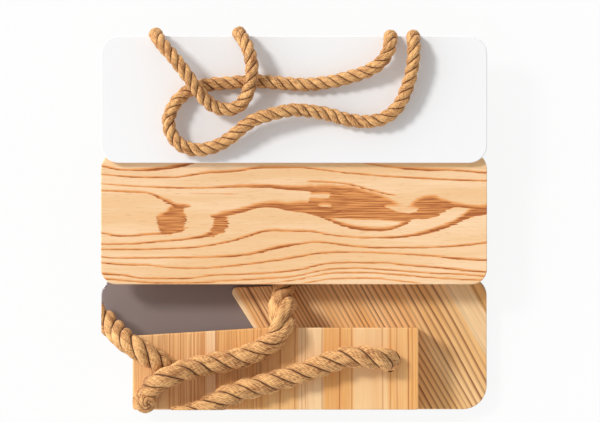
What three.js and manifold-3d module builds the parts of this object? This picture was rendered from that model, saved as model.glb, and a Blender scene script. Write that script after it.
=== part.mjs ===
// A hanging rope shelf, taken down and laid flat: three tiers collapsed into a stepped pile.
// Millimetres, +Z up, with the origin on the floor under the middle of the boards.
// X runs along the boards, and -Y is the front of the pile.
import * as THREE from 'three';
import { mergeVertices } from 'three/addons/utils/BufferGeometryUtils.js';
import Module from 'manifold-3d';

const wasm = await Module();
wasm.setup();

// Shelf boards
const boardLength = 450;
const topDepth = 148;
const middleDepth = 155;
const bottomDepth = 154;
const topThickness = 9;
const middleThickness = 12;
const bottomThickness = 9;
const boardCorner = 21;
const middleFrontCorner = 18;
const bottomFrontCorner = 28;
const boardEasedEdge = 1;

// How far the middle and top boards step back from the front of the pile
const middleStep = 146;
const topStep = 287.5;

// The bottom board's cut-away corner, for the rope that passes there
const cutawayLength = 40;
const cutawayDepth = 78;
const cutawayInsideCorner = 8;
const tongueCorner = 3;

// The slanting board laid over the right part of the bottom board
const overlayThickness = 9;
const overlayFrontStart = 238;
const overlaySlantWidth = 90;
const overlayBackDrop = 12;
const overlayTipCorner = 6;
const overlayToeCorner = 2;

// Crossbars
const barThickness = 45;
const barEasedEdge = 1.5;
const barCorner = 3;
const bottomBarLength = 333;
const bottomBarInset = 37;
const bottomBarDepth = 95.5;
const bottomBarLeftDepth = 86;
const bottomBarTaperLength = 154;
const middleBarLength = 360;
const middleBarDepth = 96;
const topBarLength = 390;
const topBarDepth = 57;
const topBarSetback = 43.2;

// What lies between the crossbars and the boards
const battenThickness = 12;
const battenWidth = 30;
const battenInset = 45;
const packingInset = 4;
const packingDepth = 75;
const packingCorner = 2;

// Ropes, with the holes and sockets that they go into
const thinRope = 16;
const thickRope = 26;
const strandHoleHeight = 20;
const strandHolePlaces = [-165, -64, 107, 144];
const edgeRopeSocket = [-144, -172];
const frontRopeSocket = [110.5, -160.5];
const tierRopeSocket = [-12, 24];
const ropeSocketDepth = 30;

// Knots and the turned-up end of the tier rope
const knotRadius = 18;
const knotLength = 27;
const endKnobRadius = 13.2;
const endKnobHeight = 27;
const endKnobFromLeft = 12;
const endKnobFromFront = 11;

// Dowels
const dowelRadius = 4;
const dowelInBar = 14;
const dowelInBoard = 5.5;

// Clearances
const seatGap = 0.3;
const ropeGap = 0.5;
const dowelGap = 0.25;
const cutOverrun = 5;

// Counts of steps and sides
const thinSides = 10;
const thickSides = 12;
const leftLoopSteps = 20;
const rightLoopSteps = 34;
const edgeRopeSteps = 7;
const tierRopeSteps = 16;
const frontRopeSteps = 12;
const holeSides = 24;
const dowelSides = 12;
const knotSides = 20;
const cornerStepsPerRootMillimetre = 2.4;

// Levels that follow from the thicknesses
const overlayBottom = bottomThickness + seatGap;
const overlayTop = overlayBottom + overlayThickness;
const bottomBarBottom = overlayTop + seatGap;
const bottomBarTop = bottomBarBottom + barThickness;
const middleBottom = barThickness + seatGap;
const middleTop = middleBottom + middleThickness;
const battenBottom = barThickness + seatGap;
const topBottom = battenBottom + battenThickness + seatGap;

// Edges that follow from the lengths and steps
const left = -boardLength / 2;
const right = boardLength / 2;
const back = (topStep + topDepth) / 2;
const front = -back;
const bottomBack = front + bottomDepth;
const middleFront = front + middleStep;
const middleBack = middleFront + middleDepth;
const topFront = front + topStep;
const bottomBarLeft = left + bottomBarInset;
const bottomBarRight = bottomBarLeft + bottomBarLength;
const middleBarFront = (middleFront + middleBack - middleBarDepth) / 2;
const middleBarBack = middleBarFront + middleBarDepth;
const topBarBack = back - topBarSetback;
const topBarFront = topBarBack - topBarDepth;
const battenPlace = topBarLength / 2 - battenInset - battenWidth / 2;
const overlayTipDepth = bottomDepth - overlayBackDrop;

const finishes = {
  whiteLacquer: { color: 0xf3f3f3, roughness: 0.35, metalness: 0 },
  greyLacquer: { color: 0x887c79, roughness: 0.25, metalness: 0 },
  pine: { color: 0xf2cb94, roughness: 0.55, metalness: 0 },
  gluedPine: { color: 0xeab878, roughness: 0.6, metalness: 0 },
  beech: { color: 0xd9b184, roughness: 0.6, metalness: 0 },
  jute: { color: 0xc08850, roughness: 0.95, metalness: 0 },
};

function piece(name, geometry, finish) {
  const mesh = new THREE.Mesh(geometry, new THREE.MeshStandardMaterial(finishes[finish]));
  mesh.name = name;
  return mesh;
}

function toSolid(geometry) {
  const bare = geometry.clone();
  bare.deleteAttribute('normal');
  bare.deleteAttribute('uv');
  const merged = mergeVertices(bare);
  return new wasm.Manifold(new wasm.Mesh({
    numProp: 3,
    vertProperties: new Float32Array(merged.attributes.position.array),
    triVerts: new Uint32Array(merged.index.array),
  }));
}

function toGeometry(solid) {
  const mesh = solid.getMesh();
  const geometry = new THREE.BufferGeometry();
  geometry.setAttribute('position', new THREE.BufferAttribute(mesh.vertProperties, 3));
  geometry.setIndex(new THREE.BufferAttribute(mesh.triVerts, 1));
  return geometry;
}

function cut(geometry, tools) {
  return toGeometry(tools.reduce((solid, tool) => solid.subtract(toSolid(tool)), toSolid(geometry)));
}

// The points of one rounded corner, from the edge before it to the edge after it.
function cornerArc(before, [x, y, radius], after) {
  const corner = new THREE.Vector2(x, y);
  const inward = new THREE.Vector2(...before).sub(corner).normalize();
  const onward = new THREE.Vector2(...after).sub(corner).normalize();
  const half = Math.acos(inward.dot(onward)) / 2;
  const bisector = inward.clone().add(onward).normalize();
  const centre = bisector.multiplyScalar(radius / Math.sin(half)).add(corner);
  const start = inward.multiplyScalar(radius / Math.tan(half)).add(corner).sub(centre);
  const end = onward.multiplyScalar(radius / Math.tan(half)).add(corner).sub(centre);
  const sweep = Math.atan2(start.cross(end), start.dot(end));
  const steps = Math.max(2, Math.round(cornerStepsPerRootMillimetre * Math.sqrt(radius)));
  return Array.from({ length: steps + 1 }, (_, i) => start.clone()
    .rotateAround(new THREE.Vector2(), (sweep * i) / steps).add(centre));
}

// An outline of [x, y, corner radius] points, anticlockwise.
function roundedOutline(corners) {
  const points = corners.flatMap((corner, i) => {
    const [beforeX, beforeY] = corners.at(i - 1);
    const [afterX, afterY] = corners[(i + 1) % corners.length];
    return cornerArc([beforeX, beforeY], corner, [afterX, afterY]);
  });
  return new THREE.Shape(points);
}

function rectangle(x0, y0, x1, y1, frontRadius, backRadius = frontRadius) {
  return roundedOutline([
    [x0, y0, frontRadius], [x1, y0, frontRadius], [x1, y1, backRadius], [x0, y1, backRadius],
  ]);
}

// A board or bar of that outline, standing on the level bottom, with its edges eased.
function slab(outline, bottom, thickness, ease) {
  const geometry = new THREE.ExtrudeGeometry(outline, {
    depth: thickness - 2 * ease,
    bevelThickness: ease,
    bevelSize: ease,
    bevelOffset: -ease,
    bevelSegments: 2,
  });
  geometry.translate(0, 0, bottom + ease);
  return geometry;
}

function uprightRod([x, y], radius, low, high, sides) {
  const geometry = new THREE.CylinderGeometry(radius, radius, high - low, sides);
  geometry.rotateX(Math.PI / 2);
  geometry.translate(x, y, (low + high) / 2);
  return geometry;
}

function levelRod([x, z], radius, near, far, sides) {
  const geometry = new THREE.CylinderGeometry(radius, radius, far - near, sides);
  geometry.translate(x, (near + far) / 2, z);
  return geometry;
}

// Rope routes. Each starts at the rope's fixed end.

const strandRun = (x) => [
  [x, topBarFront, strandHoleHeight], [x, 132, strandHoleHeight], [x, 146, strandHoleHeight],
  [x, 160, strandHoleHeight], [x, topBarBack, strandHoleHeight], [x, 186, strandHoleHeight + ropeGap],
];
const leftLoopRoute = [
  ...strandRun(strandHolePlaces[0]),
  [-164, 200, 24], [-163, 210, 33], [-162, 217, 46], [-161, 219.5, 60],
  [-160, 218, 73], [-157, 213, 83], [-151, 205, 91], [-143, 196, 96], [-132, 182, 99],
  [-121, 167, 99], [-111, 153, 95], [-101, 141, 88], [-90, 134, 84], [-77, 132, 83],
  [-64, 136, 84], [-55, 149, 88], [-50, 166, 92], [-49, 183, 92], [-52, 198, 90],
  [-57, 210, 84], [-62, 218, 74], [-64, 221, 60], [-64, 218, 46], [-64, 211, 33],
  [-64, 200, 24],
  ...strandRun(strandHolePlaces[1]).reverse(),
];
const rightLoopRoute = [
  ...strandRun(strandHolePlaces[2]),
  [109, 199, 23], [111, 209, 30], [112, 215, 41], [112.5, 217, 53], [112.5, 217, 63],
  [112.5, 215.5, 73], [112, 209, 81.5], [109, 198, 85], [101, 187, 85], [86, 177, 82], [66, 170, 79],
  [41, 164, 76.5], [12, 161, 75], [-18, 163, 75], [-49, 165, 75], [-74, 163, 75],
  [-98, 161, 75], [-116, 157, 75.5], [-130, 148, 78], [-140, 136, 80.5], [-146, 121, 81],
  [-143, 104, 81], [-131, 90, 80.5], [-112, 85, 80], [-92, 89, 80.5], [-74, 99, 83],
  [-61, 110, 86], [-46, 120, 88], [-27, 126, 89], [-4, 131, 87], [19, 130, 81],
  [41, 126, 76.5], [63, 120, 75.5], [86, 118, 77], [105, 122, 78.5], [120, 134, 79.5],
  [130, 153, 81], [136.5, 174, 82.5], [139.5, 195, 84], [139.5, 208, 81.5], [139, 215.5, 73],
  [139, 217, 63], [139, 217, 53], [139.5, 215, 41], [140.5, 209, 30], [142, 199, 23],
  ...strandRun(strandHolePlaces[3]).reverse(),
];
const edgeRopeRoute = [
  [-144, -172, 34], [-144, -172, 40], [-144.5, -171.5, 48], [-147, -169, 57],
  [-152, -166, 67], [-160, -161, 74], [-169, -155, 77.5], [-180, -148, 78], [-191, -141, 73],
  [-200, -134, 63], [-208, -126, 51], [-216, -118, 40], [-225, -110, 31], [-234, -102, 24],
];
const tierRopeRoute = [
  [-12, -42.6, 24], [-12, -46, 24], [-12, -50, 24.4], [-12, -55, 26.4], [-12, -61, 29.5],
  [-12, -67, 31.3], [-12, -74, 31.7],
  [-12.5, -81, 33.2], [-13.5, -88, 39], [-13.5, -95, 49], [-13, -103, 61.5], [-13, -112, 73],
  [-14.5, -122, 79.5], [-19.5, -131.5, 80.5], [-29, -141, 79], [-44, -150, 78], [-61, -156.5, 77.5],
  [-82, -161.5, 77.5], [-103, -165.5, 79], [-121, -170, 84], [-135.5, -175, 90], [-147, -180, 92.5],
  [-157, -184.5, 90], [-163.5, -189, 84], [-167.5, -193, 79], [-170, -196.5, 76],
];
const frontRopeRoute = [
  [110.5, -160.5, 34], [110.5, -160.5, 42], [110.5, -160.5, 52], [111, -160.5, 60],
  [110.5, -160.5, 69], [106.5, -159.5, 77.5], [98, -158, 83.5], [86, -156, 85.5], [72, -155.5, 84.5],
  [57, -157.5, 82], [40, -163, 80], [22, -170, 78.5], [3, -176.5, 77.5], [-17, -183, 77.5],
  [-36, -188.5, 77.5], [-56, -194, 77.5], [-74, -200, 77.5], [-89, -207.5, 77.5],
  [-104, -216.5, 77.5], [-119, -222, 77.5], [-139, -227, 77.5], [-157, -231, 77.5],
];

// A rope's plain tube. With slack it is the room that the rope passes through.
function ropeTube(route, diameter, sides, steps, slack = 0) {
  const radius = diameter / 2 + slack;
  const section = new THREE.Shape(Array.from({ length: sides }, (_, i) => {
    const angle = (2 * Math.PI * i) / sides;
    return new THREE.Vector2(radius * Math.cos(angle), radius * Math.sin(angle));
  }));
  return new THREE.ExtrudeGeometry(section, {
    steps,
    bevelEnabled: false,
    extrudePath: new THREE.CatmullRomCurve3(route.map((point) => new THREE.Vector3(...point))),
  });
}

const leftLoop = (slack) => ropeTube(leftLoopRoute, thinRope, thinSides, leftLoopSteps, slack);
const rightLoop = (slack) => ropeTube(rightLoopRoute, thinRope, thinSides, rightLoopSteps, slack);
const edgeRope = (slack) => ropeTube(edgeRopeRoute, thickRope, thickSides, edgeRopeSteps, slack);
const tierRope = (slack) => ropeTube(tierRopeRoute, thickRope, thickSides, tierRopeSteps, slack);
const frontRope = (slack) => ropeTube(frontRopeRoute, thickRope, thickSides, frontRopeSteps, slack);

// Thick ropes that are trimmed flush where they leave the tier.

function beyond(x0, y0, x1, y1) {
  const box = new THREE.BoxGeometry(x1 - x0, y1 - y0, boardLength);
  box.translate((x0 + x1) / 2, (y0 + y1) / 2, 0);
  return box;
}

function trimmedEdgeRope() {
  return cut(edgeRope(), [beyond(left - boardLength, front, left, back)]);
}

function trimmedFrontRope() {
  return cut(frontRope(), [beyond(left, front - boardLength, right, front - seatGap)]);
}

function trimmedTierRope() {
  return cut(tierRope(), [endKnob(seatGap)]);
}

// Dowels, each glued half in a crossbar and half in the board that it carries.

function dowels(name, places, [low, high]) {
  return places.map((place, i) => piece(`${name}_${i + 1}`,
    uprightRod(place, dowelRadius, low + dowelGap, high - dowelGap, dowelSides), 'beech'));
}

function dowelHoles(places, [low, high]) {
  return places.map((place) => uprightRod(place, dowelRadius + dowelGap, low, high, dowelSides));
}

const topDowelPlaces = [-1, 1].flatMap((side) => [1 / 4, 3 / 4].map((depthShare) => [
  side * battenPlace, topBarFront + topBarDepth * depthShare,
]));
const middleDowelPlaces = [-1, 1].flatMap((side) => [1 / 5, 4 / 5].map((depthShare) => [
  (side * middleBarLength) / 3, middleBarFront + middleBarDepth * depthShare,
]));
const bottomDowelShares = [[0.22, 0.55], [0.4, 0.2], [0.72, 0.7], [0.93, 0.2]];
const bottomDowelPlaces = bottomDowelShares.map(([lengthShare, depthShare]) => [
  bottomBarLeft + bottomBarLength * lengthShare, front + bottomBarLeftDepth * depthShare,
]);

const topDowelSpan = [barThickness - dowelInBar, topBottom + dowelInBoard];
const middleDowelSpan = [barThickness - dowelInBar, middleBottom + dowelInBoard];
const bottomDowelSpan = [bottomThickness - dowelInBoard, bottomBarBottom + dowelInBar];

// The thin white board, with a notch at its back edge for each strand of rope.
function topBoard() {
  const outline = rectangle(left, topFront, right, back, boardCorner);
  return cut(slab(outline, topBottom, topThickness, boardEasedEdge), [
    leftLoop(ropeGap), rightLoop(ropeGap), ...dowelHoles(topDowelPlaces, topDowelSpan),
  ]);
}

function topBatten(side) {
  const middle = side * battenPlace;
  const outline = rectangle(
    middle - battenWidth / 2, topBarFront, middle + battenWidth / 2, topBarBack, barCorner);
  return cut(slab(outline, battenBottom, battenThickness, boardEasedEdge),
    dowelHoles(topDowelPlaces, topDowelSpan));
}

// The rear crossbar, drilled from back to front for the four strands.
function topBar() {
  const outline = rectangle(-topBarLength / 2, topBarFront, topBarLength / 2, topBarBack, barCorner);
  const strandHoles = strandHolePlaces.map((x) => levelRod([x, strandHoleHeight],
    thinRope / 2 + ropeGap, topBarFront - cutOverrun, topBarBack + cutOverrun, holeSides));
  return cut(slab(outline, 0, barThickness, barEasedEdge),
    [...strandHoles, ...dowelHoles(topDowelPlaces, topDowelSpan)]);
}

const knotShares = [
  [0, 0], [0.5, 0], [1, 0.17], [1, 0.35], [0.85, 0.5], [1, 0.65], [0.95, 0.85], [0.5, 1], [0, 1],
];

// An overhand stopper knot, drawn tight: two crowned turns round the strand.
function stopperKnot(x) {
  const profile = knotShares.map(([across, along]) => new THREE.Vector2(
    knotRadius * across, knotLength * along));
  const geometry = new THREE.LatheGeometry(profile, knotSides);
  geometry.translate(x, topBarFront - seatGap - knotLength, strandHoleHeight);
  return geometry;
}

function middleBoard() {
  const outline = rectangle(left, middleFront, right, middleBack, middleFrontCorner, boardCorner);
  return cut(slab(outline, middleBottom, middleThickness, boardEasedEdge),
    dowelHoles(middleDowelPlaces, middleDowelSpan));
}

// The middle crossbar, with a socket in its front face for the rope from the tier below.
function middleBar() {
  const outline = rectangle(
    -middleBarLength / 2, middleBarFront, middleBarLength / 2, middleBarBack, barCorner);
  const socket = levelRod(tierRopeSocket, thickRope / 2 + ropeGap, middleBarFront - cutOverrun,
    middleBarFront + ropeSocketDepth, holeSides);
  return cut(slab(outline, 0, barThickness, barEasedEdge),
    [socket, ...dowelHoles(middleDowelPlaces, middleDowelSpan)]);
}

function tierRopeEnd() {
  return levelRod(tierRopeSocket, thickRope / 2, middleBarFront,
    middleBarFront + ropeSocketDepth - ropeGap, thickSides);
}

// The bottom board, whole under the overlay and cut away at its front left corner.
function bottomBoard() {
  const outline = roundedOutline([
    [left + cutawayLength, front, tongueCorner],
    [right, front, bottomFrontCorner],
    [right, bottomBack, boardCorner],
    [left, bottomBack, boardCorner],
    [left, front + cutawayDepth, boardCorner],
    [left + cutawayLength, front + cutawayDepth, cutawayInsideCorner],
  ]);
  return cut(slab(outline, 0, bottomThickness, boardEasedEdge),
    dowelHoles(bottomDowelPlaces, bottomDowelSpan));
}

function slantAt(depth) {
  return left + overlayFrontStart - (overlaySlantWidth * depth) / overlayTipDepth;
}

function overlayBoard() {
  const outline = roundedOutline([
    [slantAt(0), front, overlayToeCorner],
    [right, front, bottomFrontCorner],
    [right, bottomBack, boardCorner],
    [slantAt(overlayTipDepth), front + overlayTipDepth, overlayTipCorner],
  ]);
  return cut(slab(outline, overlayBottom, overlayThickness, boardEasedEdge),
    dowelHoles(bottomDowelPlaces, bottomDowelSpan));
}

// The strip that fills the space beside the overlay, under the bottom crossbar.
function packingStrip() {
  const start = bottomBarLeft + packingInset;
  const outline = roundedOutline([
    [start, front + packingInset, packingCorner],
    [slantAt(packingInset) - 2 * seatGap, front + packingInset, packingCorner],
    [slantAt(packingDepth) - 2 * seatGap, front + packingDepth, packingCorner],
    [start, front + packingDepth, packingCorner],
  ]);
  return cut(slab(outline, overlayBottom, overlayThickness, boardEasedEdge),
    dowelHoles(bottomDowelPlaces, bottomDowelSpan));
}

// The bottom crossbar, a little narrower towards its left end, with sockets for two ropes.
function bottomBar() {
  const outline = roundedOutline([
    [bottomBarLeft, front, barCorner],
    [bottomBarRight, front, barCorner],
    [bottomBarRight, front + bottomBarDepth, barCorner],
    [bottomBarLeft + bottomBarTaperLength, front + bottomBarDepth, barCorner],
    [bottomBarLeft, front + bottomBarLeftDepth, barCorner],
  ]);
  const sockets = [edgeRopeSocket, frontRopeSocket].map((place) => uprightRod(place,
    thickRope / 2 + ropeGap, bottomBarTop - ropeSocketDepth, bottomBarTop + cutOverrun, holeSides));
  return cut(slab(outline, bottomBarBottom, barThickness, barEasedEdge), [
    ...sockets, edgeRope(ropeGap), frontRope(ropeGap),
    ...dowelHoles(bottomDowelPlaces, bottomDowelSpan),
  ]);
}

const endKnobShares = [
  [0, 0], [0.8, 0], [1, 0.2], [1, 0.6], [0.88, 0.8], [0.6, 0.93], [0, 1],
];

// The tier rope's cut end, turned up on the crossbar's corner, with a domed top.
function endKnob(slack = 0) {
  const profile = endKnobShares.map(([across, up]) => new THREE.Vector2(
    (endKnobRadius + slack) * across, (endKnobHeight + slack) * up));
  const geometry = new THREE.LatheGeometry(profile, knotSides);
  geometry.rotateX(Math.PI / 2);
  geometry.translate(
    bottomBarLeft + endKnobFromLeft, front + endKnobFromFront, bottomBarTop + seatGap);
  return geometry;
}

function bottomTier() {
  const tier = new THREE.Group();
  tier.add(
    piece('bottom_shelf_board', bottomBoard(), 'greyLacquer'),
    piece('overlay_board', overlayBoard(), 'pine'),
    piece('packing_strip', packingStrip(), 'pine'),
    piece('bottom_crossbar', bottomBar(), 'gluedPine'),
    ...dowels('bottom_dowel', bottomDowelPlaces, bottomDowelSpan),
    piece('edge_rope', trimmedEdgeRope(), 'jute'),
    piece('tier_rope', trimmedTierRope(), 'jute'),
    piece('tier_rope_turned_end', endKnob(), 'jute'),
    piece('front_rope', trimmedFrontRope(), 'jute'),
  );
  return tier;
}

function middleTier() {
  const tier = new THREE.Group();
  tier.add(
    piece('middle_shelf_board', middleBoard(), 'pine'),
    piece('middle_crossbar', middleBar(), 'gluedPine'),
    ...dowels('middle_dowel', middleDowelPlaces, middleDowelSpan),
    piece('tier_rope_socket_end', tierRopeEnd(), 'jute'),
  );
  return tier;
}

function topTier() {
  const tier = new THREE.Group();
  tier.add(
    piece('top_shelf_board', topBoard(), 'whiteLacquer'),
    piece('top_batten_left', topBatten(-1), 'pine'),
    piece('top_batten_right', topBatten(1), 'pine'),
    piece('top_crossbar', topBar(), 'gluedPine'),
    ...dowels('top_dowel', topDowelPlaces, topDowelSpan),
    piece('left_hanging_rope', leftLoop(), 'jute'),
    piece('right_hanging_rope', rightLoop(), 'jute'),
  );
  strandHolePlaces.forEach((x, i) => tier.add(piece(`stopper_knot_${i + 1}`, stopperKnot(x), 'jute')));
  return tier;
}

const shelf = new THREE.Group();
shelf.add(bottomTier(), middleTier(), topTier());

export default shelf;
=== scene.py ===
"""A hanging rope shelf taken down and laid flat: three tiers in a stepped pile, seen from straight above."""

import math
from functools import reduce

import bmesh
import bpy
import numpy as np
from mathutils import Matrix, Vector


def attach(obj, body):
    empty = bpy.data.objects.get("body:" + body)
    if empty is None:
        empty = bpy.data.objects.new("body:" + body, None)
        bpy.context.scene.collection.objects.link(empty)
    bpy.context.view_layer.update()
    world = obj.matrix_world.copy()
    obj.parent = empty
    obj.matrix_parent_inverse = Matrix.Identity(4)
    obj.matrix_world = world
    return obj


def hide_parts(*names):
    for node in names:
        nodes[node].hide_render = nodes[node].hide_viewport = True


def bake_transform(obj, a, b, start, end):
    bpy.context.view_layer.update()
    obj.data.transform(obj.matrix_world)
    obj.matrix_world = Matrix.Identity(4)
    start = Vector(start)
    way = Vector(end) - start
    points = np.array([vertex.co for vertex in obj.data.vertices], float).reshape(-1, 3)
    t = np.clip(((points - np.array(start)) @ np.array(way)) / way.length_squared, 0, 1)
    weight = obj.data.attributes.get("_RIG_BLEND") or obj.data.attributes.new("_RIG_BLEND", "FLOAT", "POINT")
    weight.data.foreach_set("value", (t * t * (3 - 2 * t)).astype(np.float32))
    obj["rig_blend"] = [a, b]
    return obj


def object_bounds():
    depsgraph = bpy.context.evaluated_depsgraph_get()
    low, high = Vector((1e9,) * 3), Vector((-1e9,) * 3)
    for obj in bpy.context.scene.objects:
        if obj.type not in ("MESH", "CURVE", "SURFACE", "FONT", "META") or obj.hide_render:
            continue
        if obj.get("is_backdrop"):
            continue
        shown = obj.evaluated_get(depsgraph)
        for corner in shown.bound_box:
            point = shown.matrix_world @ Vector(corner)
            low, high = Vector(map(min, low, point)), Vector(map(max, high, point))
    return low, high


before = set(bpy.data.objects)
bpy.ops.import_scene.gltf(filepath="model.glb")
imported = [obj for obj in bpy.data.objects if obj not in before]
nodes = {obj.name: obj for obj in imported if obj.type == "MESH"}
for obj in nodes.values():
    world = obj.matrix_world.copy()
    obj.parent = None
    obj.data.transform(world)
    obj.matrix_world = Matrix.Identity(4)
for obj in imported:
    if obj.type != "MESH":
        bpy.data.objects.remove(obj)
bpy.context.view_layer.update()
scene = bpy.context.scene

# The camera looks straight down on the pile through a very long lens, from so far away that
# the board edges don't show. It is placed by the pixel size of the 450 mm boards.
MM = 0.001
BOARD_LENGTH = 450 * MM
BOARD_PIXELS = 385
IMAGE_WIDTH, IMAGE_HEIGHT = 600, 422
PIXEL = BOARD_LENGTH / BOARD_PIXELS
PILE_CENTRE_PIXEL = (294, 222.75)
CAMERA_HEIGHT = 20.0


def placed(name, data):
    """A new object in the scene."""
    thing = bpy.data.objects.new(name, data)
    scene.collection.objects.link(thing)
    return thing


camera_data = bpy.data.cameras.new("camera")
camera = placed("camera", camera_data)
scene.camera = camera
camera.location = (
    (IMAGE_WIDTH / 2 - PILE_CENTRE_PIXEL[0]) * PIXEL,
    (PILE_CENTRE_PIXEL[1] - IMAGE_HEIGHT / 2) * PIXEL,
    CAMERA_HEIGHT,
)
camera_data.lens = camera_data.sensor_width * CAMERA_HEIGHT / (IMAGE_WIDTH * PIXEL)
camera_data.clip_end = 2 * CAMERA_HEIGHT

# The two hanging ropes are 16 mm three-strand jute, laid right-handed. Each runs through the top
# crossbar and over the back edge of the white board at both ends, and lies on it in a slack loop.
TURN = 2 * math.pi
STRANDS = 3
STRAND_SHARE = 0.525  # a strand's radius, as a share of the rope's
SHOWN_SHARE = 1.03  # how full the rope is drawn
FINE_STEPS = 20
RINGS_PER_PITCH = 22
POINTS_PER_YARN = 4
INNER_POINTS = 3
SHOWN_ARC = math.radians(118)  # how far round to each side a strand shows
YARN_DEPTH_SHARE = 0.13
YARN_RISE_SHARE = 0.05
YARN_ROUNDNESS = 0.8
YARN_LEAN = 2.2  # a yarn's turns round its strand, for each turn of the strand
NEAR_SHARE = 0.5  # how far off a strand the painted crease shade beside it ends
NEAR_RINGS = 9
LOOSE_FADE, MOST_FADE = 4.5, 0.75  # how that painted crease shade fades where the rope swells
ANY_SIDE = (0.31, 0.52, 0.8)
TURN_WANDER = 0.08
WANDER_SHARE = 0.025
WANDER_RUN = 55 * MM
WANDER_WAVES = (0.5, 1.6, 3)  # the slowest, the fastest and how many
THIN_ROPE = 16 * MM
THIN_PITCH = 37 * MM
THIN_YARNS = 14
HOLE_HEIGHT = 20
LEFT_HOLES, RIGHT_HOLES = (-165, -64), (107, 144)
TOP_BAR_FRONT = 117.55
TOP_BAR_BACK = 174.55


def unit(vectors):
    return vectors / np.linalg.norm(vectors, axis=-1, keepdims=True)


def summed(steps):
    return np.concatenate([[0], np.cumsum(steps)])


def run_along(points):
    return summed(np.linalg.norm(np.diff(points, axis=0), axis=1))


def smooth_route(points, spacing):
    """Evenly spaced points in metres on a smooth curve through the given millimetre points."""
    given = np.array(points, float) * MM
    run = run_along(given)
    slope = np.gradient(given, run, axis=0)
    fine = np.linspace(0, run[-1], FINE_STEPS * len(given))
    i = np.clip(np.searchsorted(run, fine, side="right") - 1, 0, len(run) - 2)
    step = run[i + 1] - run[i]
    t, step = ((fine - run[i]) / step)[:, None], step[:, None]
    curve = (
        (1 + 2 * t) * (1 - t) ** 2 * given[i] + t * (1 - t) ** 2 * step * slope[i]
        + t * t * (3 - 2 * t) * given[i + 1] + t * t * (t - 1) * step * slope[i + 1]
    )
    run = run_along(curve)
    even = np.linspace(0, run[-1], round(run[-1] / spacing) + 1)
    return np.stack([np.interp(even, run, curve[:, axis]) for axis in range(3)], axis=1)


def carried_side(along):
    """A direction square to the route, carried along it without twisting."""
    side = np.empty_like(along)
    side[0] = unit(np.cross(along[0], ANY_SIDE))
    for i in range(1, len(along)):
        side[i] = unit(side[i - 1] - along[i] * (side[i - 1] @ along[i]))
    return side


def wander(run, dice):
    """A slow random drift along the rope, about one high at most."""
    waves = dice.uniform(*WANDER_WAVES) * TURN / WANDER_RUN
    return sum(np.sin(wave * run + dice.uniform(0, TURN)) for wave in waves) / len(waves)


def nearness(points, radius, others):
    """How near each point is to the strands beside it: 1 where they touch, and 0 some way off."""
    ring = np.arange(len(points))
    gap = np.full(points.shape[:2], np.inf)
    for centre, reach in others:
        for step in range(-NEAR_RINGS, NEAR_RINGS + 1):
            beside = np.clip(ring + step, 0, len(ring) - 1)
            apart = np.linalg.norm(points - centre[beside][:, None], axis=2)
            gap = np.minimum(gap, apart - reach[beside][:, None])
    return np.clip(1 - gap / (NEAR_SHARE * radius[:, None]), 0, 1)


def strand(centre, outward, radius, yarn_turn, yarns, dice, others):
    """One strand's rings of points, with its yarns as flutes that wind back across it, and what
    its material reads."""
    along = unit(np.gradient(centre, axis=0))
    across = unit(np.cross(along, outward))
    outward = np.cross(across, along)
    shown = round(yarns * POINTS_PER_YARN * 2 * SHOWN_ARC / TURN)
    angle = np.concatenate([
        np.linspace(-SHOWN_ARC, SHOWN_ARC, shown),
        np.linspace(SHOWN_ARC, TURN - SHOWN_ARC, INNER_POINTS + 2)[1:-1],
    ])
    run = run_along(centre)[:, None]
    lay = angle + yarn_turn[:, None]
    phase = yarns * lay / TURN
    lobe = np.abs(np.sin(math.pi * phase)) ** YARN_ROUNDNESS
    yarn = np.floor(phase).astype(int) % yarns
    rise = dice.uniform(-1, 1, yarns)[yarn] * lobe
    height = YARN_DEPTH_SHARE * (lobe - 1) + YARN_RISE_SHARE * rise
    height[:, shown:] = -YARN_DEPTH_SHARE
    reach = radius[:, None] * (1 + height)
    points = (
        centre[:, None] + (reach * np.cos(angle))[..., None] * outward[:, None]
        + (reach * np.sin(angle))[..., None] * across[:, None]
    )
    return {
        "points": points,
        "groove": np.clip(1 - lobe, 0, 1),
        "crease_shade": nearness(points, radius, others),
        "yarn": dice.uniform(0, 1, yarns)[yarn],
        "lay_run": np.broadcast_to(run, reach.shape),
        "lay_round": lay * radius[:, None],
    }


def strands_mesh(name, strands):
    """One mesh of closed strands, with their values as attributes and their lay as the UV map."""
    points, faces, first = [], [], 0
    for one in strands:
        rings, ring = one["points"].shape[:2]
        index = first + np.arange(rings * ring).reshape(rings, ring)
        after = np.roll(index, -1, axis=1)
        faces += np.stack([index[:-1], after[:-1], after[1:], index[1:]], axis=-1).reshape(-1, 4).tolist()
        faces += [index[0, ::-1].tolist(), index[-1].tolist()]
        points.append(one["points"].reshape(-1, 3))
        first += rings * ring
    mesh = bpy.data.meshes.new(name)
    mesh.from_pydata(np.concatenate(points).tolist(), [], faces)
    mesh.polygons.foreach_set("use_smooth", [True] * len(faces))
    keys = [key for key in strands[0] if key != "points"]
    values = {key: np.concatenate([one[key].ravel() for one in strands]) for key in keys}
    values["strand"] = np.concatenate([np.full(one["yarn"].size, k) for k, one in enumerate(strands)])
    for key in ("groove", "crease_shade", "yarn", "strand"):
        mesh.attributes.new(key, "FLOAT", "POINT").data.foreach_set("value", values[key].astype(np.float32))
    corner = np.empty(len(mesh.loops), int)
    mesh.loops.foreach_get("vertex_index", corner)
    lay = np.stack([values["lay_run"][corner], values["lay_round"][corner]], axis=1)
    mesh.uv_layers.new(name="lay").data.foreach_set("uv", lay.astype(np.float32).ravel())
    return mesh


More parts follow.
